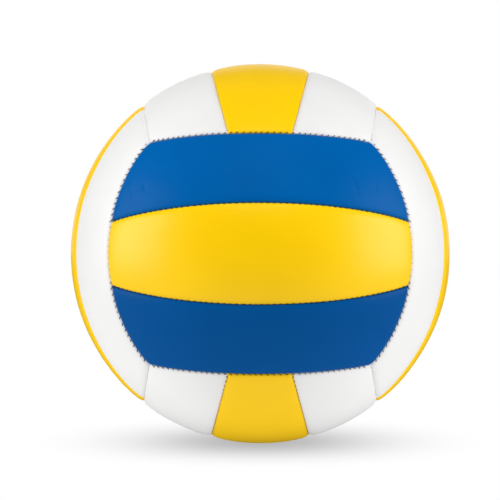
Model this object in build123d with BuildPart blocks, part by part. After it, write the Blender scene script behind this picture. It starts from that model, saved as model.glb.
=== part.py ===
from build123d import *
import math
import os

# A volleyball: 18 sewn panels round an air bladder, with the thread in each seam and the valve.
# Millimetres, in the ball's own frame: the origin is its centre and +Z is up.
# The face with two blue panels looks along -Y, and the valve comes out along +Y.

# The cover: widths are measured along the surface, at half a panel's length
ball_girth = 660.0
middle_panel_width = 55.0
outer_panel_width = 42.5
panel_thickness = 4.0

# The panels' edges, which roll in to the seams
edge_roll_width = 3.2
edge_roll_radius = 5.0
seam_depth = 1.5

# The seam thread, a square cord that lies on its corner in the seam
thread_width = 0.8
thread_seat_clearance = 0.05
thread_end_gap = 1.2

# The bladder, and the valve housing that is bonded into it
bladder_wall = 0.8
bladder_hole_clearance = 0.1
stem_diameter = 9.0
stem_hole_clearance = 0.3
stem_recess = 0.6
flange_diameter = 28.0
flange_thickness = 1.0
flange_bond_gap = 0.1
tail_diameter = 8.0
tail_length = 9.0

# The self-sealing insert in the housing, with the channel for a pump needle
insert_diameter = 5.6
insert_clearance = 0.05
insert_head_diameter = 7.2
insert_head_thickness = 1.2
insert_tip_diameter = 3.6
insert_tip_length = 3.0
needle_bore_diameter = 2.2
needle_bore_depth = 8.0
needle_mouth_diameter = 3.6
needle_mouth_depth = 0.8

# Radii that follow, from the outside in
ball_radius = ball_girth / (2 * math.pi)
seam_radius = ball_radius - seam_depth
bladder_radius = ball_radius - panel_thickness
bladder_inner_radius = bladder_radius - bladder_wall
flange_outer_radius = bladder_inner_radius - flange_bond_gap
flange_inner_radius = flange_outer_radius - flange_thickness
centre = Vector(0, 0, 0)

# A face of three strips is laid out with X along the strips, Y across them and Z out of the ball.
# Its corners are the corners of a cube, and each face is turned a quarter turn against the next,
# so the ends of its strips meet the long side of a strip of its neighbour.
strip_angle = middle_panel_width / 2 / ball_radius
side_angle = strip_angle + outer_panel_width / ball_radius
corner_share = 1 / math.sqrt(3)


def seam_plane(middle, first, last):
    """The plane of the seam through three directions from the ball's centre.

    Its origin is the centre of the seam's circle, its X points to the seam's middle, and its Z
    points away from the panel that the seam bounds.
    """
    normal = (first - middle).cross(last - middle).normalized()
    height = normal.dot(middle)
    return Plane(origin=normal * (height * seam_radius), x_dir=middle - normal * height, z_dir=normal)


end_seams = [
    seam_plane(
        Vector(way * math.cos(side_angle), 0, math.sin(side_angle)),
        Vector(way * corner_share, -way * corner_share, corner_share),
        Vector(way * corner_share, way * corner_share, corner_share),
    )
    for way in (1, -1)
]
strip_seams = [
    seam_plane(
        Vector(0, way * math.sin(strip_angle), math.cos(strip_angle)),
        Vector(way, 0, 0),
        Vector(-way, 0, 0),
    )
    for way in (1, -1)
]
side_seam = seam_plane(
    Vector(0, math.sin(side_angle), math.cos(side_angle)),
    Vector(corner_share, corner_share, corner_share),
    Vector(-corner_share, corner_share, corner_share),
)


def seam_groove(seam):
    """The ring that is cut away along a seam, so that the panels beside it have rolled edges."""
    seam_turn = math.acos(seam.origin.dot(seam.z_dir) / seam_radius)
    roll_turn = edge_roll_width / ball_radius

    def level(radius, turn):
        return (radius * math.cos(turn), radius * math.sin(turn))

    near = level(ball_radius, seam_turn - roll_turn)
    bottom = level(seam_radius, seam_turn)
    far = level(ball_radius, seam_turn + roll_turn)
    outside = level(ball_radius + seam_depth, seam_turn)
    with BuildPart() as ring:
        with BuildSketch(Plane(origin=centre, x_dir=seam.z_dir, z_dir=-seam.y_dir)):
            with BuildLine():
                RadiusArc(near, bottom, -edge_roll_radius)
                RadiusArc(bottom, far, -edge_roll_radius)
                Polyline(far, outside, near)
            make_face()
        revolve(axis=Axis(centre, seam.z_dir))
    return ring.part


def panel(walls):
    """One panel: the part of the cover inside its seams, with a rolled edge along each."""
    grooves = [seam_groove(wall) for wall in walls]
    poles_aside = (90, 0, 0)
    with BuildPart() as cover:
        Sphere(ball_radius, rotation=poles_aside)
        Sphere(bladder_radius, rotation=poles_aside, mode=Mode.SUBTRACT)
        for wall in walls:
            split(bisect_by=wall, keep=Keep.BOTTOM)
        for groove in grooves:
            add(groove, mode=Mode.SUBTRACT)
    return cover.part


def strip_seam_reach():
    """How many degrees a strip seam runs from its middle to the end seam that it meets."""
    end = end_seams[0]
    across = end.z_dir.dot(strip_seams[0].x_dir)
    along = end.z_dir.X
    height = end.origin.dot(end.z_dir) / seam_radius
    steepest = math.atan2(along, across) % (2 * math.pi)
    return math.degrees(steepest - math.acos(height / math.hypot(along, across)))


def end_seam_reach():
    """How many degrees an end seam runs from its middle to a corner of the face."""
    end = end_seams[0]
    corner = Vector(corner_share, corner_share, corner_share) * seam_radius
    return (corner - end.origin).get_angle(end.x_dir)


def seam_thread(seam, reach):
    """The thread of one seam, which stops short of the seams that it runs into at its ends."""
    circle_radius = math.sqrt(seam_radius**2 - seam.origin.length**2)
    half_arc = reach - math.degrees(thread_end_gap / circle_radius)
    start = seam.x_dir.rotate(Axis(centre, seam.z_dir), -half_arc)
    outward = (seam.origin + start * circle_radius).normalized()
    along = seam.z_dir.cross(start)
    lay_radius = seam_radius + thread_seat_clearance + thread_width / 2
    with BuildPart() as thread:
        with BuildSketch(Plane(origin=outward * lay_radius, x_dir=outward.cross(along), z_dir=along)):
            RegularPolygon(thread_width / 2, 4)
        revolve(axis=Axis(centre, seam.z_dir), revolution_arc=2 * half_arc)
    return thread.part


# The four shapes that the cover repeats, each where it lies on its face
middle_panel = panel(end_seams + strip_seams)
outer_panel = panel(end_seams + [side_seam, -strip_seams[0]])
strip_thread = seam_thread(strip_seams[0], strip_seam_reach())
end_thread = seam_thread(end_seams[0], end_seam_reach())

# The six faces, each with X along its strips and Z out of the ball
faces = {
    "front": Plane(origin=centre, x_dir=(1, 0, 0), z_dir=(0, -1, 0)),
    "back": Plane(origin=centre, x_dir=(-1, 0, 0), z_dir=(0, 1, 0)),
    "right": Plane(origin=centre, x_dir=(0, 0, 1), z_dir=(1, 0, 0)),
    "left": Plane(origin=centre, x_dir=(0, 0, 1), z_dir=(-1, 0, 0)),
    "top": Plane(origin=centre, x_dir=(0, 1, 0), z_dir=(0, 0, 1)),
    "bottom": Plane(origin=centre, x_dir=(0, 1, 0), z_dir=(0, 0, -1)),
}


def side_of(direction):
    """The word for the side of the ball that a direction along an axis points to."""
    sides = (("left", "right"), ("front", "back"), ("lower", "upper"))
    for share, (low, high) in zip(tuple(direction), sides):
        if abs(share) > 0.5:
            return high if share > 0 else low


pieces = {}
for face, plane in faces.items():
    pieces[f"{face}_middle_panel"] = middle_panel.moved(plane.location)
    for turn, way in ((0, 1), (180, -1)):
        place = plane.location * Location((0, 0, 0), (0, 0, turn))
        across = side_of(plane.y_dir * way)
        along = side_of(plane.x_dir * way)
        pieces[f"{face}_{across}_panel"] = outer_panel.moved(place)
        pieces[f"{face}_{across}_seam_thread"] = strip_thread.moved(place)
        pieces[f"{face}_{along}_seam_thread"] = end_thread.moved(place)

# The panel that the valve's stem comes out through
stem_radius = stem_diameter / 2
valve_seat = Plane(origin=(0, ball_radius, 0), z_dir=(0, 1, 0))
with BuildPart() as valve_panel:
    add(pieces["back_middle_panel"])
    with Locations(valve_seat):
        Hole(stem_radius + stem_hole_clearance, depth=2 * panel_thickness)
pieces["back_middle_panel"] = valve_panel.part

with BuildPart() as bladder:
    Sphere(bladder_radius)
    Sphere(bladder_inner_radius, mode=Mode.SUBTRACT)
    with Locations(valve_seat.offset(-panel_thickness)):
        Hole(stem_radius + bladder_hole_clearance, depth=2 * bladder_wall)
pieces["bladder"] = bladder.part

# Levels along the valve's axis, from the ball's centre
stem_top = ball_radius - stem_recess
head_seat = stem_top - insert_head_thickness
tail_end = flange_inner_radius - tail_length
bore_end = stem_top - needle_bore_depth
housing_bore_radius = insert_diameter / 2 + insert_clearance
head_recess_radius = insert_head_diameter / 2 + insert_clearance


def on_sphere(radius, out):
    """The point of a sphere round the ball's centre that lies this far out from the valve's axis."""
    return (out, math.sqrt(radius**2 - out**2))


with BuildPart() as valve_housing:
    with BuildSketch(Plane.XY):
        with BuildLine():
            flange_radius = flange_diameter / 2
            tail_radius = tail_diameter / 2
            flange_under = RadiusArc(
                on_sphere(flange_inner_radius, tail_radius),
                on_sphere(flange_inner_radius, flange_radius),
                flange_inner_radius,
            )
            flange_top = RadiusArc(
                on_sphere(flange_outer_radius, flange_radius),
                on_sphere(flange_outer_radius, stem_radius),
                -flange_outer_radius,
            )
            Line(flange_under @ 1, flange_top @ 0)
            Polyline(
                flange_top @ 1,
                (stem_radius, stem_top),
                (head_recess_radius, stem_top),
                (head_recess_radius, head_seat),
                (housing_bore_radius, head_seat),
                (housing_bore_radius, tail_end),
                (tail_radius, tail_end),
                flange_under @ 0,
            )
        make_face()
    revolve(axis=Axis.Y)
pieces["valve_housing"] = valve_housing.part

with BuildPart() as valve_insert:
    with BuildSketch(Plane.XY):
        with BuildLine():
            Polyline(
                (0, bore_end),
                (needle_bore_diameter / 2, bore_end),
                (needle_bore_diameter / 2, stem_top - needle_mouth_depth),
                (needle_mouth_diameter / 2, stem_top),
                (insert_head_diameter / 2, stem_top),
                (insert_head_diameter / 2, head_seat),
                (insert_diameter / 2, head_seat),
                (insert_diameter / 2, tail_end),
                (insert_tip_diameter / 2, tail_end - insert_tip_length),
                (0, tail_end - insert_tip_length),
                close=True,
            )
        make_face()
    revolve(axis=Axis.Y)
pieces["valve_insert"] = valve_insert.part

os.makedirs("parts", exist_ok=True)
for name, piece in pieces.items():
    piece.label = name
    export_step(piece, f"parts/{name}.step")
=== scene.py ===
import math

import bmesh
import bpy
import numpy as np
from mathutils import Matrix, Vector
from mathutils.geometry import delaunay_2d_cdt


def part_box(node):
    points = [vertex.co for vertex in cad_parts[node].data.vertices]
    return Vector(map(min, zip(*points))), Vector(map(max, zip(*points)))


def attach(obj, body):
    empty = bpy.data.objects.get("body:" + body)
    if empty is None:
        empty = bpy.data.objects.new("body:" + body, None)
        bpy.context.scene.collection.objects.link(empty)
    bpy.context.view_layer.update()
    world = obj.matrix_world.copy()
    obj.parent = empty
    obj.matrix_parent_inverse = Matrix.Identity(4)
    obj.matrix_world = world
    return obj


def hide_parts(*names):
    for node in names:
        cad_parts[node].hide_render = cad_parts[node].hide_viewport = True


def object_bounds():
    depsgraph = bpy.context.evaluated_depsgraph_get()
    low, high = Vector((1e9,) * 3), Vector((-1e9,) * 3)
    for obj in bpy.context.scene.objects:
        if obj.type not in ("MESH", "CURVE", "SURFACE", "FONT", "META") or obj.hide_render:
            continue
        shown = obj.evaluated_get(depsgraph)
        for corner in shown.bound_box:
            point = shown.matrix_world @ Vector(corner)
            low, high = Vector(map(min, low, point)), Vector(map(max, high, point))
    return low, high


# A sewn volleyball: 18 padded panels, the thread in their seams, and the valve at the back.
# Metres, in the frame of the solids: the ball's centre is the origin and +Z is up.
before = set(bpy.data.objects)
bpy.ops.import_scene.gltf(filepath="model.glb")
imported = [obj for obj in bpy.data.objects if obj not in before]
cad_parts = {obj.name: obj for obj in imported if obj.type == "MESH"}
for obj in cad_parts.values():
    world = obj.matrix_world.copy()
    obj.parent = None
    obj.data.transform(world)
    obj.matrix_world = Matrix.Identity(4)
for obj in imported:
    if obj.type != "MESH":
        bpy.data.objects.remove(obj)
cad_low, cad_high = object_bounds()
MM = 0.001

# The cover, from the solids and the panels' widths along the surface. The drop keeps the uneven
# padding inside the solids' box.
BALL_RADIUS = (cad_high.x - cad_low.x) / 2
BLADDER_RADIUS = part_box("bladder")[1].x
MIDDLE_PANEL_WIDTH = 55 * MM
OUTER_PANEL_WIDTH = 42.5 * MM
PANEL_BACK_RADIUS = BLADDER_RADIUS + 0.1 * MM
PANEL_GAP = 0.04 * MM
PANEL_DROP = 0.02 * MM

# How a panel's surface falls to its seams: a tight roll, a broad shoulder and a pull at each stitch
ROLL_DEPTH = 1.3 * MM
ROLL_WIDTH = 3.8 * MM
SHOULDER_DEPTH = 0.5 * MM
SHOULDER_WIDTH = 14 * MM
PULL_DEPTH = 0.35 * MM
PULL_WIDTH = 0.8 * MM
PULL_LENGTH = 0.6 * MM

# The slow unevenness of the padding: broad waves, with the range of their lengths in millimetres.
# Each panel has its own seed, and the middle panels take the ones before the outer panels'.
SWELL_WAVES = 6
SWELL_LENGTHS = (28, 60)
SWELL_HEIGHT = 0.035 * MM
OUTER_PANELS_FIRST_SEED = 10

# Edges bent by more than the angle stay sharp, and plan points within the tolerance are one
SHARP_ANGLE = math.radians(70)
TRIANGLE_TOLERANCE = 1e-9

# The stitches: one thread winds along a seam and lies over it once a stitch, at the crest. The
# steps of the seam vary in waves, each with its height, its length and its offset.
STITCH_PITCH = 3.35 * MM
STITCH_CREST = 0.25
STITCH_WAVES = ((0.25 * MM, 4.1 * MM, 0.0), (0.2 * MM, 2.3 * MM, 1.0))
THREAD_RADIUS = 0.23 * MM
THREAD_REACH = 0.48 * MM
THREAD_LIFT = 0.1 * MM
THREAD_DIVE = 0.9 * MM
THREAD_BRIDGE_DEPTH = 1.3 * MM
THREAD_BUNCHING = 0.75
THREAD_SIDES = 5
THREAD_STEPS = 10
SEAM_END_GAP = 1.2 * MM
SEAM_SAMPLES = 4000

# How the thread sits in each face's seams, in millimetres: how much deeper it is drawn in the strip
# seams, in the end seams at the outer strips and there at the middle strip, and how far its
# stitches sit outward from the end seams
THREAD_SEATS = {
    "front": (0.2, 0.05, 0.5, 0.37),
    "back": (0.2, 0.05, 0.5, 0.37),
    "right": (0.2, 0.9, 0.9, 0.0),
    "left": (0.2, 0.9, 0.9, 0.0),
    "top": (0.95, 0.05, 0.05, -0.2),
    "bottom": (0.45, 0.05, 0.05, -0.2),
}

# The hole for the valve's stem
STEM_HOLE_RADIUS = 4.8 * MM
HOLE_ROLL_DEPTH = 0.7 * MM
HOLE_ROLL_WIDTH = 1.1 * MM

# Faint creases in the upper front panel: their ends, as shares of its half length and of its width
CREASES = [
    ((0.72, 0.92), (0.69, 0.77)),
    ((0.59, 0.46), (0.60, 0.17)),
    ((0.76, 0.42), (0.73, 0.26)),
    ((0.16, 0.76), (0.20, 0.65)),
    ((0.30, 0.70), (0.29, 0.58)),
    ((-0.95, 0.58), (-0.90, 0.41)),
    ((-0.90, 0.43), (-0.83, 0.20)),
    ((-0.79, 0.45), (-0.74, 0.26)),
]
CREASE_DEPTH = 0.24 * MM
CREASE_WIDTH = 0.6 * MM
CREASE_BOW = 0.8 * MM
CREASE_ROWS = (-1.3 * MM, -0.55 * MM, 0.0, 0.55 * MM, 1.3 * MM)
CREASE_CLEAR = 1.7 * MM
CREASE_POINTS = 14

# Rows of points in from a panel's outline, as the distance and the spacing along the row
EDGE_ROWS = [
    (PANEL_GAP, 0.58 * MM),
    (0.3 * MM, 0.58 * MM),
    (0.65 * MM, 0.58 * MM),
    (1.1 * MM, 0.58 * MM),
    (1.7 * MM, 0.7 * MM),
    (2.5 * MM, 1.0 * MM),
    (3.6 * MM, 1.6 * MM),
    (5.2 * MM, 2.4 * MM),
    (7.6 * MM, 3.4 * MM),
    (11.0 * MM, 4.4 * MM),
]
GRID_SPACING = 4.4 * MM
HOLE_ROWS = [0.06 * MM, 0.25 * MM, 0.55 * MM, 1.0 * MM, 1.8 * MM, 3.2 * MM, 5.6 * MM]
HOLE_POINTS = 48

# The layout of a face, with its strips along X, Y across them and Z out of the ball
STRIP_TILT = MIDDLE_PANEL_WIDTH / 2 / BALL_RADIUS
SIDE_TILT = STRIP_TILT + OUTER_PANEL_WIDTH / BALL_RADIUS
CORNER = 1 / math.sqrt(3)
CORNER_TILT = math.pi / 4
CORNER_TURN = math.asin(CORNER)
LEAN = math.atan2(math.sin(SIDE_TILT) - CORNER, math.cos(SIDE_TILT) - CORNER)
SEAM_HEIGHT = math.cos(LEAN) * math.sin(SIDE_TILT) - math.sin(LEAN) * math.cos(SIDE_TILT)

FACES = {
    "front": ((1, 0, 0), (0, -1, 0)),
    "back": ((-1, 0, 0), (0, 1, 0)),
    "right": ((0, 0, 1), (1, 0, 0)),
    "left": ((0, 0, 1), (-1, 0, 0)),
    "top": ((0, 1, 0), (0, 0, 1)),
    "bottom": ((0, 1, 0), (0, 0, -1)),
}
SIDES = (("left", "right"), ("front", "back"), ("lower", "upper"))


def side_of(direction):
    """The word for the side of the ball that an axis direction points to."""
    axis = int(np.argmax(np.abs(direction)))
    return SIDES[axis][int(direction[axis] > 0)]


def face_basis(face, half_turn=False):
    """The face's own axes as the columns of a matrix, turned by half a turn where asked."""
    along, out = (np.array(axis, float) for axis in FACES[face])
    across = np.cross(out, along)
    way = -1 if half_turn else 1
    return np.column_stack((way * along, way * across, out))


class Seam:
    """A circle on the ball that bounds a panel: its plane's normal, which points away from the
    panel, and the direction to its middle."""

    def __init__(self, normal, middle, basis):
        self.normal = basis @ np.array(normal, float)
        middle = basis @ np.array(middle, float)
        self.height = float(self.normal @ middle)
        self.width = math.sqrt(1 - self.height**2)
        self.inward = (middle - self.height * self.normal) / self.width
        along = np.cross(self.normal, self.inward)
        self.along = along * np.sign(along[np.argmax(np.abs(along))])

    def distance(self, points):
        """How far unit vectors lie from the seam, on the ball's surface, inside the panel."""
        angle = np.arccos(np.clip(points @ self.normal, -1, 1))
        return np.maximum(0, angle - math.acos(self.height)) * BALL_RADIUS

    def station(self, points):
        """How far along the seam unit vectors lie, from the seam's middle."""
        turn = np.arctan2(points @ self.along, points @ self.inward)
        return turn * self.width * BALL_RADIUS

    def at(self, station):
        """Unit vectors on the seam, and the directions across it, at these stations."""
        turn = np.asarray(station)[:, None] / (self.width * BALL_RADIUS)
        round_it = np.cos(turn) * self.inward + np.sin(turn) * self.along
        on_it = self.height * self.normal + self.width * round_it
        return on_it, self.width * self.normal - self.height * round_it


def end_seam(way, basis):
    """The seam at one end of a face's strips."""
    return Seam(
        (way * math.sin(LEAN), 0, -math.cos(LEAN)),
        (way * math.cos(SIDE_TILT), 0, math.sin(SIDE_TILT)),
        basis,
    )


def strip_seam(side, outward, basis):
    """The seam between the middle strip and the outer one on a side of the face.

    Its normal points out of the middle strip where outward is 1, and out of the outer one where
    it is -1.
    """
    return Seam(
        (0, outward * side * math.cos(STRIP_TILT), -outward * math.sin(STRIP_TILT)),
        (0, side * math.sin(STRIP_TILT), math.cos(STRIP_TILT)),
        basis,
    )


def side_seam(basis):
    """The seam along the outer side of an outer strip."""
    return Seam(
        (0, math.cos(LEAN), -math.sin(LEAN)),
        (0, math.sin(SIDE_TILT), math.cos(SIDE_TILT)),
        basis,
    )


def end_turn(tilt):
    """How far a line at this tilt runs along the face before it meets the end seam."""
    across = math.cos(LEAN) * np.cos(tilt)
    reach = np.hypot(math.sin(LEAN), across)
    return np.arccos(SEAM_HEIGHT / reach) - np.arctan2(math.sin(LEAN), across)


def side_tilt(turn):
    """The tilt of the side seam at this turn along the face."""
    return LEAN + np.arcsin(SEAM_HEIGHT / np.cos(turn))


def stitch_phase(station):
    """Which stitch lies at a station along a seam. Hand-fed seams don't step quite evenly."""
    uneven = 0.0
    for height, length, offset in STITCH_WAVES:
        uneven = uneven + height * np.sin(station / length + offset)
    return (station + uneven) / STITCH_PITCH


def edge_roll(distance):
    """The fall of the tight roll at this distance from a seam."""
    inside = np.clip(1 - distance / ROLL_WIDTH, 0, 1)
    return ROLL_DEPTH * (1 - np.sqrt(1 - inside**2))


def edge_shoulder(distance):
    """The fall of the broad shoulder at this distance from a seam."""
    return SHOULDER_DEPTH * np.clip(1 - distance / SHOULDER_WIDTH, 0, 1) ** 2


def stitch_pull(distance, from_stitch):
    """The fall at this distance from a seam, and from a stitch along it, where the stitch pulls."""
    return PULL_DEPTH * np.exp(-((from_stitch / PULL_LENGTH) ** 2) - (distance / PULL_WIDTH) ** 2)


def seam_fall(seams, points):
    """How far a panel's surface lies below the ball's crown at these unit vectors."""
    rolls = np.zeros(len(points))
    fall = np.zeros(len(points))
    for seam in seams:
        distance = seam.distance(points)
        phase = stitch_phase(seam.station(points)) - STITCH_CREST
        from_stitch = (phase - np.round(phase)) * STITCH_PITCH
        rolls += edge_roll(distance) ** 2
        fall += edge_shoulder(distance) + stitch_pull(distance, from_stitch)
    return fall + np.sqrt(rolls)


def outline_row(length, width, inset, spacing):
    """Points round a rectangle, set in from its outline, in counter-clockwise order."""
    half, low, high = length / 2 - inset, inset, width - inset
    along = np.linspace(-half, half, round(2 * half / spacing), endpoint=False)
    up = np.linspace(low, high, round((high - low) / spacing), endpoint=False)
    return np.concatenate((
        np.column_stack((along, np.full_like(along, low))),
        np.column_stack((np.full_like(up, half), up)),
        np.column_stack((-along, np.full_like(along, high))),
        np.column_stack((np.full_like(up, -half), low + high - up)),
    ))


def inner_grid(length, width, inset, spacing):
    """An even grid of points inside a rectangle, set in from its outline."""
    half, low, high = length / 2 - inset, inset, width - inset
    columns = np.linspace(-half, half, round((length - 2 * inset) / spacing))
    rows = np.linspace(low, high, max(2, round((width - 2 * inset) / spacing)))
    return np.array([(x, y) for x in columns for y in rows])


def hole_row(centre, radius):
    """Points round a hole, in clockwise order."""
    turns = np.linspace(0, -2 * math.pi, HOLE_POINTS, endpoint=False)
    return centre + radius * np.column_stack((np.cos(turns), np.sin(turns)))


def crease_line(ends, length, width):
    """Points along a crease on a panel's plan, and the direction across it."""
    start, end = (np.array(point) * (length / 2, width) for point in ends)
    along = (end - start) / np.linalg.norm(end - start)
    across = np.array((-along[1], along[0]))
    share = np.linspace(0, 1, CREASE_POINTS)[:, None]
    return start + share * (end - start) + CREASE_BOW * np.sin(math.pi * share) * across, across


def crease_gaps(points, line):
    """How far plan points lie from each point of a crease."""
    return np.linalg.norm(points[:, None] - line[None], axis=2)


def crease_fall(points, lines):
    """How far the creases draw a panel's surface in, at points of its plan."""
    fall = np.zeros(len(points))
    for line, _ in lines:
        gaps = crease_gaps(points, line)
        fade = np.sin(math.pi * gaps.argmin(axis=1) / (CREASE_POINTS - 1))
        fall += CREASE_DEPTH * fade * np.exp(-((gaps.min(axis=1) / CREASE_WIDTH) ** 2))
    return fall


def triangles(points):
    """A triangulation of points in the plane."""
    corners = [Vector(point) for point in points]
    _, _, faces, sources, _, _ = delaunay_2d_cdt(corners, [], [], 0, TRIANGLE_TOLERANCE)
    return np.array([[sources[corner][0] for corner in face] for face in faces])


def panel_plan(length, width, hole_radius=0.0, creases=()):
    """The flat plan of a panel: its points, the triangles of its face and its back, and its rims.

    The rims come first among the points, so the back can share them.
    """
    centre = np.array((0, width / 2))

    def from_centre(points):
        return np.hypot(*(points - centre).T)

    rims = [outline_row(length, width, *EDGE_ROWS[0])]
    fine = [outline_row(length, width, *row) for row in EDGE_ROWS[1:]]
    coarse = [inner_grid(length, width, EDGE_ROWS[-1][0] + GRID_SPACING, GRID_SPACING)]
    if hole_radius:
        rims.append(hole_row(centre, hole_radius + HOLE_ROWS[0]))
        clear = hole_radius + HOLE_ROWS[-1] + GRID_SPACING / 2
        fine = [row[from_centre(row) > clear] for row in fine]
        coarse = [row[from_centre(row) > clear] for row in coarse]
        fine += [hole_row(centre, hole_radius + inset) for inset in HOLE_ROWS[1:]]
    lines = [crease_line(ends, length, width) for ends in creases]
    for line, _ in lines:
        fine = [row[crease_gaps(row, line).min(axis=1) > CREASE_CLEAR] for row in fine]
        coarse = [row[crease_gaps(row, line).min(axis=1) > CREASE_CLEAR] for row in coarse]
    fine += [line + offset * across for line, across in lines for offset in CREASE_ROWS]
    rim = np.concatenate(rims)

    def covered(points):
        faces = triangles(points)
        return faces[from_centre(points[faces].mean(axis=1)) > hole_radius]

    face_points = np.concatenate((rim, *fine, *coarse))
    back_points = np.concatenate((rim, *coarse))
    return {
        "face": face_points,
        "back": back_points,
        "face_triangles": covered(face_points),
        "back_triangles": covered(back_points),
        "rims": [len(row) for row in rims],
        "creases": lines,
    }


def on_face(plan_points, length, width, low, high):
    """The unit vectors of plan points on a face, between the strip's lower and upper edges."""
    share = plan_points[:, 0] / (length / 2)
    up = plan_points[:, 1] / width
    tilt = low + up * (high(share) - low)
    turn = share * end_turn(low + up * (high(1.0) - low))
    return np.column_stack((
        np.sin(turn),
        np.cos(turn) * np.sin(tilt),
        np.cos(turn) * np.cos(tilt),
    ))


def swell(points, seed):
    """Slow unevenness of a padded panel, from a few broad waves."""
    draw = np.random.default_rng(seed)
    height = np.zeros(len(points))
    for _ in range(SWELL_WAVES):
        direction = draw.normal(size=3)
        direction /= np.linalg.norm(direction)
        wavelength = draw.uniform(*SWELL_LENGTHS) * MM
        offset = draw.uniform(0, 2 * math.pi)
        height += np.sin(points @ direction * BALL_RADIUS * 2 * math.pi / wavelength + offset)
    return height * SWELL_HEIGHT


def new_piece(name, points, faces, material, slot, *nodes):
    """A smooth mesh on the ball's body, which stands for the named solids."""
    mesh = bpy.data.meshes.new(name)
    mesh.from_pydata([tuple(point) for point in points], [], faces)
    mesh.validate()
    mesh.polygons.foreach_set("use_smooth", [True] * len(mesh.polygons))
    mesh.set_sharp_from_angle(angle=SHARP_ANGLE)
    mesh.materials.append(material)
    piece = bpy.data.objects.new(name, mesh)
    bpy.context.scene.collection.objects.link(piece)
    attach(piece, "root")
    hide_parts(*nodes)
    return piece


def panel_piece(node, plan, place, seams, basis, seed, material, slot, hole_radius=0.0):
    """A closed padded panel: its rolled face, its edge walls and its back on the bladder."""
    face = place(plan["face"]) @ basis.T
    back = place(plan["back"]) @ basis.T
    fall = seam_fall(seams, face) + crease_fall(plan["face"], plan["creases"])
    fall += PANEL_DROP - swell(face, seed)
    if hole_radius:
        from_hole = np.arccos(np.clip(face @ basis[:, 2], -1, 1)) * BALL_RADIUS - hole_radius
        inside = np.clip(1 - from_hole / HOLE_ROLL_WIDTH, 0, 1)
        fall += HOLE_ROLL_DEPTH * (1 - np.sqrt(1 - inside**2))
    points = np.concatenate((face * (BALL_RADIUS - fall)[:, None], back * PANEL_BACK_RADIUS))
    shift = len(face)
    faces = plan["face_triangles"].tolist()
    faces += (plan["back_triangles"][:, ::-1] + shift).tolist()
    start = 0
    for count in plan["rims"]:
        for step in range(count):
            here, after = start + step, start + (step + 1) % count
            faces.append([here, here + shift, after + shift, after])
        start += count
    piece = new_piece(node.replace("_panel", "_cover"), points, faces, material, slot, node)


def thread_piece(node, seam, seam_end, sink, middle_sink, shift, material):
    """The thread of one seam, a tube that winds round it and crosses over it at each stitch."""
    half = abs(float(seam.station(seam_end))) - SEAM_END_GAP
    first, last = math.ceil(stitch_phase(-half)), math.floor(stitch_phase(half))
    turns = np.linspace(first, last, (last - first) * THREAD_STEPS + 1) * 2 * math.pi
    even = np.linspace(-half, half, SEAM_SAMPLES)
    wound = (turns + THREAD_BUNCHING * np.cos(turns)) / (2 * math.pi)
    station = np.interp(wound, stitch_phase(even), even)
    centre, across = seam.at(station)
    side = shift + THREAD_REACH * np.cos(turns)
    distance = np.abs(side)
    bed = edge_roll(distance) + edge_shoulder(distance) + stitch_pull(distance, 0.0)
    at_middle = np.clip((middle_end - np.abs(station)) / STITCH_PITCH, 0, 1)
    depth = np.minimum(bed, THREAD_BRIDGE_DEPTH) + sink + at_middle * (middle_sink - sink)
    depth -= THREAD_LIFT * np.clip(np.sin(turns), 0, 1)
    depth += THREAD_DIVE * np.clip(-np.sin(turns), 0, 1)
    swing = side[:, None] / BALL_RADIUS
    line = (centre * np.cos(swing) + across * np.sin(swing)) * (BALL_RADIUS - depth)[:, None]
    ahead = np.gradient(line, axis=0)
    ahead /= np.linalg.norm(ahead, axis=1)[:, None]
    spread = np.cross(ahead, centre)
    spread /= np.linalg.norm(spread, axis=1)[:, None]
    lift = np.cross(spread, ahead)
    round_it = np.linspace(0, 2 * math.pi, THREAD_SIDES, endpoint=False)
    sideways = np.cos(round_it)[None, :, None] * spread[:, None, :]
    upward = np.sin(round_it)[None, :, None] * lift[:, None, :]
    points = (line[:, None, :] + THREAD_RADIUS * (sideways + upward)).reshape(-1, 3)
    faces = []
    for ring in range(len(line) - 1):
        for step in range(THREAD_SIDES):
            after = (step + 1) % THREAD_SIDES
            low, high = ring * THREAD_SIDES, (ring + 1) * THREAD_SIDES
            faces.append([low + step, high + step, high + after, low + after])
    faces.append(list(range(THREAD_SIDES)))
    faces.append([(len(line) - 1) * THREAD_SIDES + step for step in reversed(range(THREAD_SIDES))])
    new_piece(node.replace("_thread", "_stitches"), points, faces, material, "thread", node)


def node_tree(material):
    """A material's nodes and its shader."""
    material.use_nodes = True
    tree = material.node_tree
    return tree, tree.nodes["Principled BSDF"]


def add_node(tree, kind, settings=None, **inputs):
    """A node with its properties and input values set. An input given as an output is linked."""
    node = tree.nodes.new(kind)
    for name, value in (settings or {}).items():
        setattr(node, name, value)
    for name, value in inputs.items():
        socket = node.inputs[name.replace("_", " ")]
        if isinstance(value, bpy.types.NodeSocket):
            tree.links.new(value, socket)
        else:
            socket.default_value = value
    return node


# The sockets of a Mix node that mixes colours
MIX_FIRST, MIX_SECOND, MIX_RESULT = 6, 7, 2


def paint(tree, shader, factor, first, second):
    """Mixes the shader's colour from two."""
    mix = add_node(tree, "ShaderNodeMix", {"data_type": "RGBA"}, Factor=factor)
    mix.inputs[MIX_FIRST].default_value = (*first, 1)
    mix.inputs[MIX_SECOND].default_value = (*second, 1)
    tree.links.new(mix.outputs[MIX_RESULT], shader.inputs["Base Color"])


def emboss(tree, shader, height, strength, depth):
    """Gives the shader a fine relief."""
    bump = add_node(tree, "ShaderNodeBump", Height=height, Strength=strength, Distance=depth)
    tree.links.new(bump.outputs["Normal"], shader.inputs["Normal"])


# The part of a noise's range that is used, and how far the leather's roughness drifts
NOISE_LOW, NOISE_HIGH = 0.3, 0.7
ROUGHNESS_DRIFT = 0.05


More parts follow.
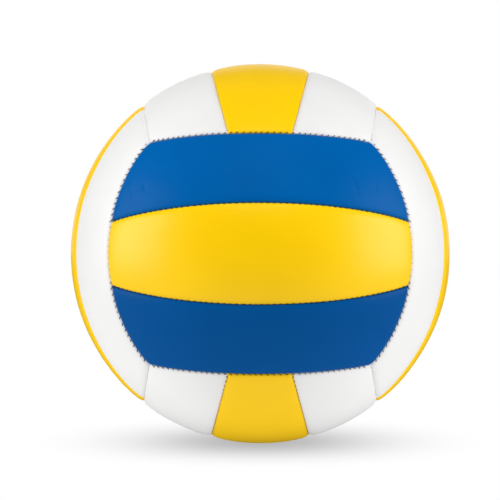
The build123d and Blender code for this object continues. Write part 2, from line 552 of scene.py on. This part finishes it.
def cover_material(name, colour, deep_colour, shine, roughness):
    """Satin synthetic leather: fine grain, and a little drift in its colour and gloss."""
    material = bpy.data.materials.new(name)
    tree, shader = node_tree(material)
    place = add_node(tree, "ShaderNodeTexCoord").outputs["Object"]
    drift = add_node(tree, "ShaderNodeTexNoise", Vector=place, Scale=28.0, Detail=4.0)
    tone = add_node(
        tree,
        "ShaderNodeMapRange",
        Value=drift.outputs["Fac"],
        From_Min=NOISE_LOW,
        From_Max=NOISE_HIGH,
    )
    paint(tree, shader, tone.outputs["Result"], deep_colour, colour)
    grain = add_node(
        tree, "ShaderNodeTexVoronoi", {"feature": "SMOOTH_F1"}, Vector=place, Scale=1500.0
    )
    pores = add_node(tree, "ShaderNodeTexNoise", Vector=place, Scale=900.0, Detail=3.0)
    height = add_node(tree, "ShaderNodeMath", {"operation": "ADD"})
    tree.links.new(grain.outputs["Distance"], height.inputs[0])
    tree.links.new(pores.outputs["Fac"], height.inputs[1])
    emboss(tree, shader, height.outputs["Value"], strength=0.12, depth=0.15 * MM)
    gloss = add_node(
        tree,
        "ShaderNodeMapRange",
        Value=pores.outputs["Fac"],
        From_Min=NOISE_LOW,
        From_Max=NOISE_HIGH,
        To_Min=roughness - ROUGHNESS_DRIFT,
        To_Max=roughness + ROUGHNESS_DRIFT,
    )
    tree.links.new(gloss.outputs["Result"], shader.inputs["Roughness"])
    shader.inputs["Specular IOR Level"].default_value = shine
    return material


def thread_material():
    """Dark bonded thread with its twist."""
    material = bpy.data.materials.new("sewing_thread")
    tree, shader = node_tree(material)
    place = add_node(tree, "ShaderNodeTexCoord").outputs["Object"]
    twist = add_node(tree, "ShaderNodeTexNoise", Vector=place, Scale=2500.0, Detail=2.0)
    paint(tree, shader, twist.outputs["Fac"], (0.006, 0.007, 0.014), (0.03, 0.032, 0.05))
    emboss(tree, shader, twist.outputs["Fac"], strength=0.4, depth=0.1 * MM)
    shader.inputs["Roughness"].default_value = 0.7
    return material


def rubber_material(name, colour, dusty_colour):
    """Moulded rubber with a faint bloom."""
    material = bpy.data.materials.new(name)
    tree, shader = node_tree(material)
    place = add_node(tree, "ShaderNodeTexCoord").outputs["Object"]
    bloom = add_node(tree, "ShaderNodeTexNoise", Vector=place, Scale=400.0, Detail=5.0)
    paint(tree, shader, bloom.outputs["Fac"], colour, dusty_colour)
    emboss(tree, shader, bloom.outputs["Fac"], strength=0.15, depth=0.1 * MM)
    shader.inputs["Roughness"].default_value = 0.6
    return material


# The lower blue panels get a darker copy of the same blue leather than the upper ones: painted
# shade, since they face down and away from the lights
yellow = cover_material("yellow_leather", (0.985, 0.613, 0.0), (0.96, 0.586, 0.0), 0.3, 0.34)
blue = cover_material("blue_leather", (0.0, 0.110, 0.385), (0.0, 0.100, 0.355), 0.04, 0.36)
shaded_blue = cover_material(
    "shaded_blue_leather", (0.0, 0.078, 0.290), (0.0, 0.072, 0.267), 0.04, 0.36
)
white = cover_material("white_leather", (0.815, 0.81, 0.805), (0.795, 0.79, 0.785), 0.24, 0.45)
thread = thread_material()
bladder_rubber = rubber_material("bladder_rubber", (0.012, 0.012, 0.012), (0.03, 0.03, 0.03))
valve_rubber = rubber_material("valve_rubber", (0.02, 0.02, 0.021), (0.05, 0.05, 0.05))

# The two panel shapes, the middle one with the valve's hole and the outer one with the creases
panel_length = 2 * BALL_RADIUS * float(end_turn(0.0))
outer_length = 2 * BALL_RADIUS * float(end_turn(STRIP_TILT))
outer_width = (CORNER_TILT + SIDE_TILT - 2 * STRIP_TILT) / 2 * BALL_RADIUS
middle_plan = panel_plan(panel_length, MIDDLE_PANEL_WIDTH)
valve_plan = panel_plan(panel_length, MIDDLE_PANEL_WIDTH, STEM_HOLE_RADIUS)
outer_plan = panel_plan(outer_length, outer_width)
creased_plan = panel_plan(outer_length, outer_width, creases=CREASES)


def place_middle(points):
    """The unit vectors of points on a middle panel's plan."""
    return on_face(points, panel_length, MIDDLE_PANEL_WIDTH, -STRIP_TILT, lambda share: STRIP_TILT)


def place_outer(points):
    """The unit vectors of points on an outer panel's plan."""
    return on_face(
        points, outer_length, outer_width, STRIP_TILT, lambda share: side_tilt(share * CORNER_TURN)
    )


# Where a strip seam meets an end seam, and how far along the end seam that is
strip_end = place_outer(np.array([(outer_length / 2, 0.0)]))[0]
middle_end = abs(float(end_seam(1, np.eye(3)).station(strip_end)))
face_corner = np.full(3, CORNER)
for seed, face in enumerate(FACES):
    basis = face_basis(face)
    ends = [end_seam(1, basis), end_seam(-1, basis)]
    hole = STEM_HOLE_RADIUS if face == "back" else 0.0
    plan = valve_plan if hole else middle_plan
    strips = [strip_seam(1, 1, basis), strip_seam(-1, 1, basis)]
    panel_piece(
        f"{face}_middle_panel",
        plan,
        place_middle,
        ends + strips,
        basis,
        seed,
        yellow,
        "yellow_cover",
        hole,
    )
    strip_sink, end_sink, end_middle_sink, end_shift = (depth * MM for depth in THREAD_SEATS[face])
    for half_turn in (False, True):
        basis = face_basis(face, half_turn)
        across = side_of(basis[:, 1])
        along = side_of(basis[:, 0])
        ends = [end_seam(1, basis), end_seam(-1, basis)]
        walls = ends + [side_seam(basis), strip_seam(1, -1, basis)]
        painted_blue = face in ("front", "back")
        # The lower panels take the darker copy of the blue, which is painted shade on the same
        # leather
        blue_lit_or_shaded = shaded_blue if across == "lower" else blue
        panel_piece(
            f"{face}_{across}_panel",
            creased_plan if (face, across) == ("front", "upper") else outer_plan,
            place_outer,
            walls,
            basis,
            OUTER_PANELS_FIRST_SEED + 2 * seed + half_turn,
            blue_lit_or_shaded if painted_blue else white,
            "blue_cover" if painted_blue else "white_cover",
        )
        thread_piece(
            f"{face}_{across}_seam_thread",
            strip_seam(1, 1, basis),
            basis @ strip_end,
            strip_sink,
            strip_sink,
            0.0,
            thread,
        )
        thread_piece(
            f"{face}_{along}_seam_thread",
            end_seam(1, basis),
            basis @ face_corner,
            end_sink,
            end_middle_sink,
            end_shift,
            thread,
        )

# The pieces inside, which keep the shapes of their solids
rubbers = {
    "bladder": bladder_rubber,
    "valve_housing": valve_rubber,
    "valve_insert": valve_rubber,
}
for node, material in rubbers.items():
    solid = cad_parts[node]
    solid.data.materials.clear()
    solid.data.materials.append(material)

# The camera: a long lens in front of the ball, aimed so that the ball sits as in the photograph
IMAGE_SIZE = 500
BALL_CENTRE_PIXEL = (260.2, 253.6)
BALL_RADIUS_PIXELS = 189.6
CAMERA_DISTANCE = 18 * BALL_RADIUS
pixel = BALL_RADIUS / BALL_RADIUS_PIXELS
lens_data = bpy.data.cameras.new("camera")
silhouette = 1 / math.sqrt((CAMERA_DISTANCE / BALL_RADIUS) ** 2 - 1)
lens_data.lens = lens_data.sensor_width / 2 * (BALL_RADIUS_PIXELS / (IMAGE_SIZE / 2)) / silhouette
camera = bpy.data.objects.new("camera", lens_data)
bpy.context.scene.collection.objects.link(camera)
camera.location = (0, -CAMERA_DISTANCE, 0)
aim = Vector((
    (IMAGE_SIZE / 2 - BALL_CENTRE_PIXEL[0]) * pixel,
    0,
    (BALL_CENTRE_PIXEL[1] - IMAGE_SIZE / 2) * pixel,
))
camera.rotation_euler = (aim - camera.location).to_track_quat("-Z", "Y").to_euler()
bpy.context.scene.camera = camera

# The floor, which leans a little because the ball lies tipped back on it
FLOOR_LEAN = math.radians(5)
FLOOR_SIZE = 3.0
FLOOR_LIGHT = 1.24
FLOOR_FRONT_LIGHT = 0.5
FLOOR_FADE_START = 1 * BALL_RADIUS
FLOOR_FADE_END = 5 * BALL_RADIUS
SHADOW_LEVEL = 0.48
SHADOW_CORE = 0.1 * BALL_RADIUS
SHADOW_REACH = 1.05 * BALL_RADIUS
SHADOW_SIDE_STRETCH = 0.8
SKY_REACH = 4 * BALL_RADIUS
floor_mesh = bpy.data.meshes.new("floor")
edge = FLOOR_SIZE / 2
corners = [(-edge, -edge, 0), (edge, -edge, 0), (edge, edge, 0), (-edge, edge, 0)]
floor_mesh.from_pydata(corners, [], [(0, 1, 2, 3)])
floor = bpy.data.objects.new("floor", floor_mesh)
bpy.context.scene.collection.objects.link(floor)
floor.rotation_euler = (FLOOR_LEAN, 0, 0)
floor.location = (0, BALL_RADIUS * math.sin(FLOOR_LEAN), -BALL_RADIUS * math.cos(FLOOR_LEAN))
floor.visible_glossy = False


def seen_mask(tree):
    """1 where the eye, a mirror or a glass looks, and 0 where light is gathered."""
    path = add_node(tree, "ShaderNodeLightPath")
    mirror = add_node(tree, "ShaderNodeMath", {"operation": "MAXIMUM"})
    tree.links.new(path.outputs["Is Glossy Ray"], mirror.inputs[0])
    tree.links.new(path.outputs["Is Transmission Ray"], mirror.inputs[1])
    seen = add_node(tree, "ShaderNodeMath", {"operation": "MAXIMUM"})
    tree.links.new(path.outputs["Is Camera Ray"], seen.inputs[0])
    tree.links.new(mirror.outputs["Value"], seen.inputs[1])
    return seen.outputs["Value"]


def from_contact(tree, place, side_stretch):
    """The distance along the floor from where the ball touches it, stretched to the sides."""
    stretched = add_node(tree, "ShaderNodeVectorMath", {"operation": "MULTIPLY"})
    tree.links.new(place, stretched.inputs[0])
    stretched.inputs[1].default_value = (side_stretch, 1, 1)
    away = add_node(tree, "ShaderNodeVectorMath", {"operation": "LENGTH"})
    tree.links.new(stretched.outputs["Vector"], away.inputs[0])
    return away.outputs["Value"]


# A light table. It is brighter than the white that the eye is shown, as an overexposed one is, and
# fades towards its front. It has the soft shadow of a white floor, where the ball hides the sky.
paper = bpy.data.materials.new("light_table")
paper.use_nodes = True
tree = paper.node_tree
place = add_node(tree, "ShaderNodeTexCoord").outputs["Object"]
sky = add_node(tree, "ShaderNodeAmbientOcclusion", {"samples": 8}, Distance=SKY_REACH)
shadow = add_node(
    tree, "ShaderNodeMapRange", Value=sky.outputs["AO"], To_Min=SHADOW_LEVEL, To_Max=1.0
)
beyond = add_node(
    tree,
    "ShaderNodeMapRange",
    {"interpolation_type": "SMOOTHSTEP"},
    Value=from_contact(tree, place, SHADOW_SIDE_STRETCH),
    From_Min=SHADOW_CORE,
    From_Max=SHADOW_REACH,
)
level = add_node(
    tree,
    "ShaderNodeMapRange",
    Value=beyond.outputs["Result"],
    To_Min=shadow.outputs["Result"],
    To_Max=1.0,
)
given = add_node(
    tree,
    "ShaderNodeMapRange",
    Value=add_node(tree, "ShaderNodeSeparateXYZ", Vector=place).outputs["Y"],
    From_Min=-FLOOR_FADE_END,
    From_Max=-FLOOR_FADE_START,
    To_Min=FLOOR_FRONT_LIGHT,
    To_Max=FLOOR_LIGHT,
)
share = add_node(
    tree, "ShaderNodeMapRange", Value=seen_mask(tree), To_Min=given.outputs["Result"], To_Max=1.0
)
strength = add_node(tree, "ShaderNodeMath", {"operation": "MULTIPLY"})
tree.links.new(level.outputs["Result"], strength.inputs[0])
tree.links.new(share.outputs["Result"], strength.inputs[1])
shine = add_node(tree, "ShaderNodeEmission", Color=(1, 1, 1, 1), Strength=strength.outputs["Value"])
tree.links.new(shine.outputs["Emission"], tree.nodes["Material Output"].inputs["Surface"])
floor_mesh.materials.append(paper)

# A white backdrop, which gives far less light than it shows
AMBIENT_LIGHT = 0.08
world = bpy.data.worlds.new("studio")
world.use_nodes = True
tree = world.node_tree
ambient = tree.nodes["Background"]
ambient.inputs["Color"].default_value = (1, 1, 1, 1)
ambient.inputs["Strength"].default_value = AMBIENT_LIGHT
backdrop = add_node(tree, "ShaderNodeBackground", Color=(1, 1, 1, 1), Strength=1.0)
choice = add_node(tree, "ShaderNodeMixShader")
tree.links.new(seen_mask(tree), choice.inputs["Fac"])
tree.links.new(ambient.outputs["Background"], choice.inputs[1])
tree.links.new(backdrop.outputs["Background"], choice.inputs[2])
tree.links.new(choice.outputs["Shader"], tree.nodes["World Output"].inputs["Surface"])
bpy.context.scene.world = world

SOFTBOX_SIZE = 0.9
SOFTBOX_DISTANCE = 1.3


def softbox(name, azimuth, height, power, shows_in_gloss):
    """A square soft light that faces the ball, from an azimuth off the front and a height angle."""
    azimuth, height = math.radians(azimuth), math.radians(height)
    away = Vector((
        math.sin(azimuth) * math.cos(height),
        -math.cos(azimuth) * math.cos(height),
        math.sin(height),
    ))
    data = bpy.data.lights.new(name, "AREA")
    data.shape = "SQUARE"
    data.size = SOFTBOX_SIZE
    data.energy = power
    lamp = bpy.data.objects.new(name, data)
    lamp.location = away * SOFTBOX_DISTANCE
    lamp.rotation_euler = away.to_track_quat("Z", "Y").to_euler()
    lamp.visible_camera = False
    lamp.visible_glossy = shows_in_gloss
    bpy.context.scene.collection.objects.link(lamp)


softbox("left_softbox", -80, 10, 10.7, True)
softbox("right_softbox", 80, 10, 10.7, True)
softbox("key_softbox", 0, 50, 12.4, False)
softbox("overhead_softbox", 0, 90, 1.0, False)
softbox("rear_softbox", 180, 35, 4.0, False)

# Black cloth round the front and over the top, outside the frame, so that the leather mirrors only
# the side lights and the pale ground behind the ball
FLAG_RADIUS = 2.2
FLAG_BACK_OPENING = math.radians(28)
FLAG_COLOUR = (0.01, 0.01, 0.01, 1)
flag_mesh = bpy.data.meshes.new("black_flag")
shell = bmesh.new()
bmesh.ops.create_uvsphere(shell, u_segments=48, v_segments=24, radius=FLAG_RADIUS)
opening_start = FLAG_RADIUS * math.cos(FLAG_BACK_OPENING)
middles = {face: face.calc_center_median() for face in shell.faces}
behind = [face for face, middle in middles.items() if middle.y > opening_start and middle.z > 0]
bmesh.ops.delete(shell, geom=behind, context="FACES")
shell.to_mesh(flag_mesh)
shell.free()
cloth = bpy.data.materials.new("black_cloth")
tree, shader = node_tree(cloth)
shader.inputs["Base Color"].default_value = FLAG_COLOUR
shader.inputs["Roughness"].default_value = 1.0
shader.inputs["Specular IOR Level"].default_value = 0.0
flag_mesh.materials.append(cloth)
flag = bpy.data.objects.new("black_flag", flag_mesh)
bpy.context.scene.collection.objects.link(flag)
flag.visible_camera = False
flag.visible_diffuse = False
flag.visible_shadow = False
flag.visible_transmission = False

bpy.context.scene.view_settings.view_transform = "Standard"
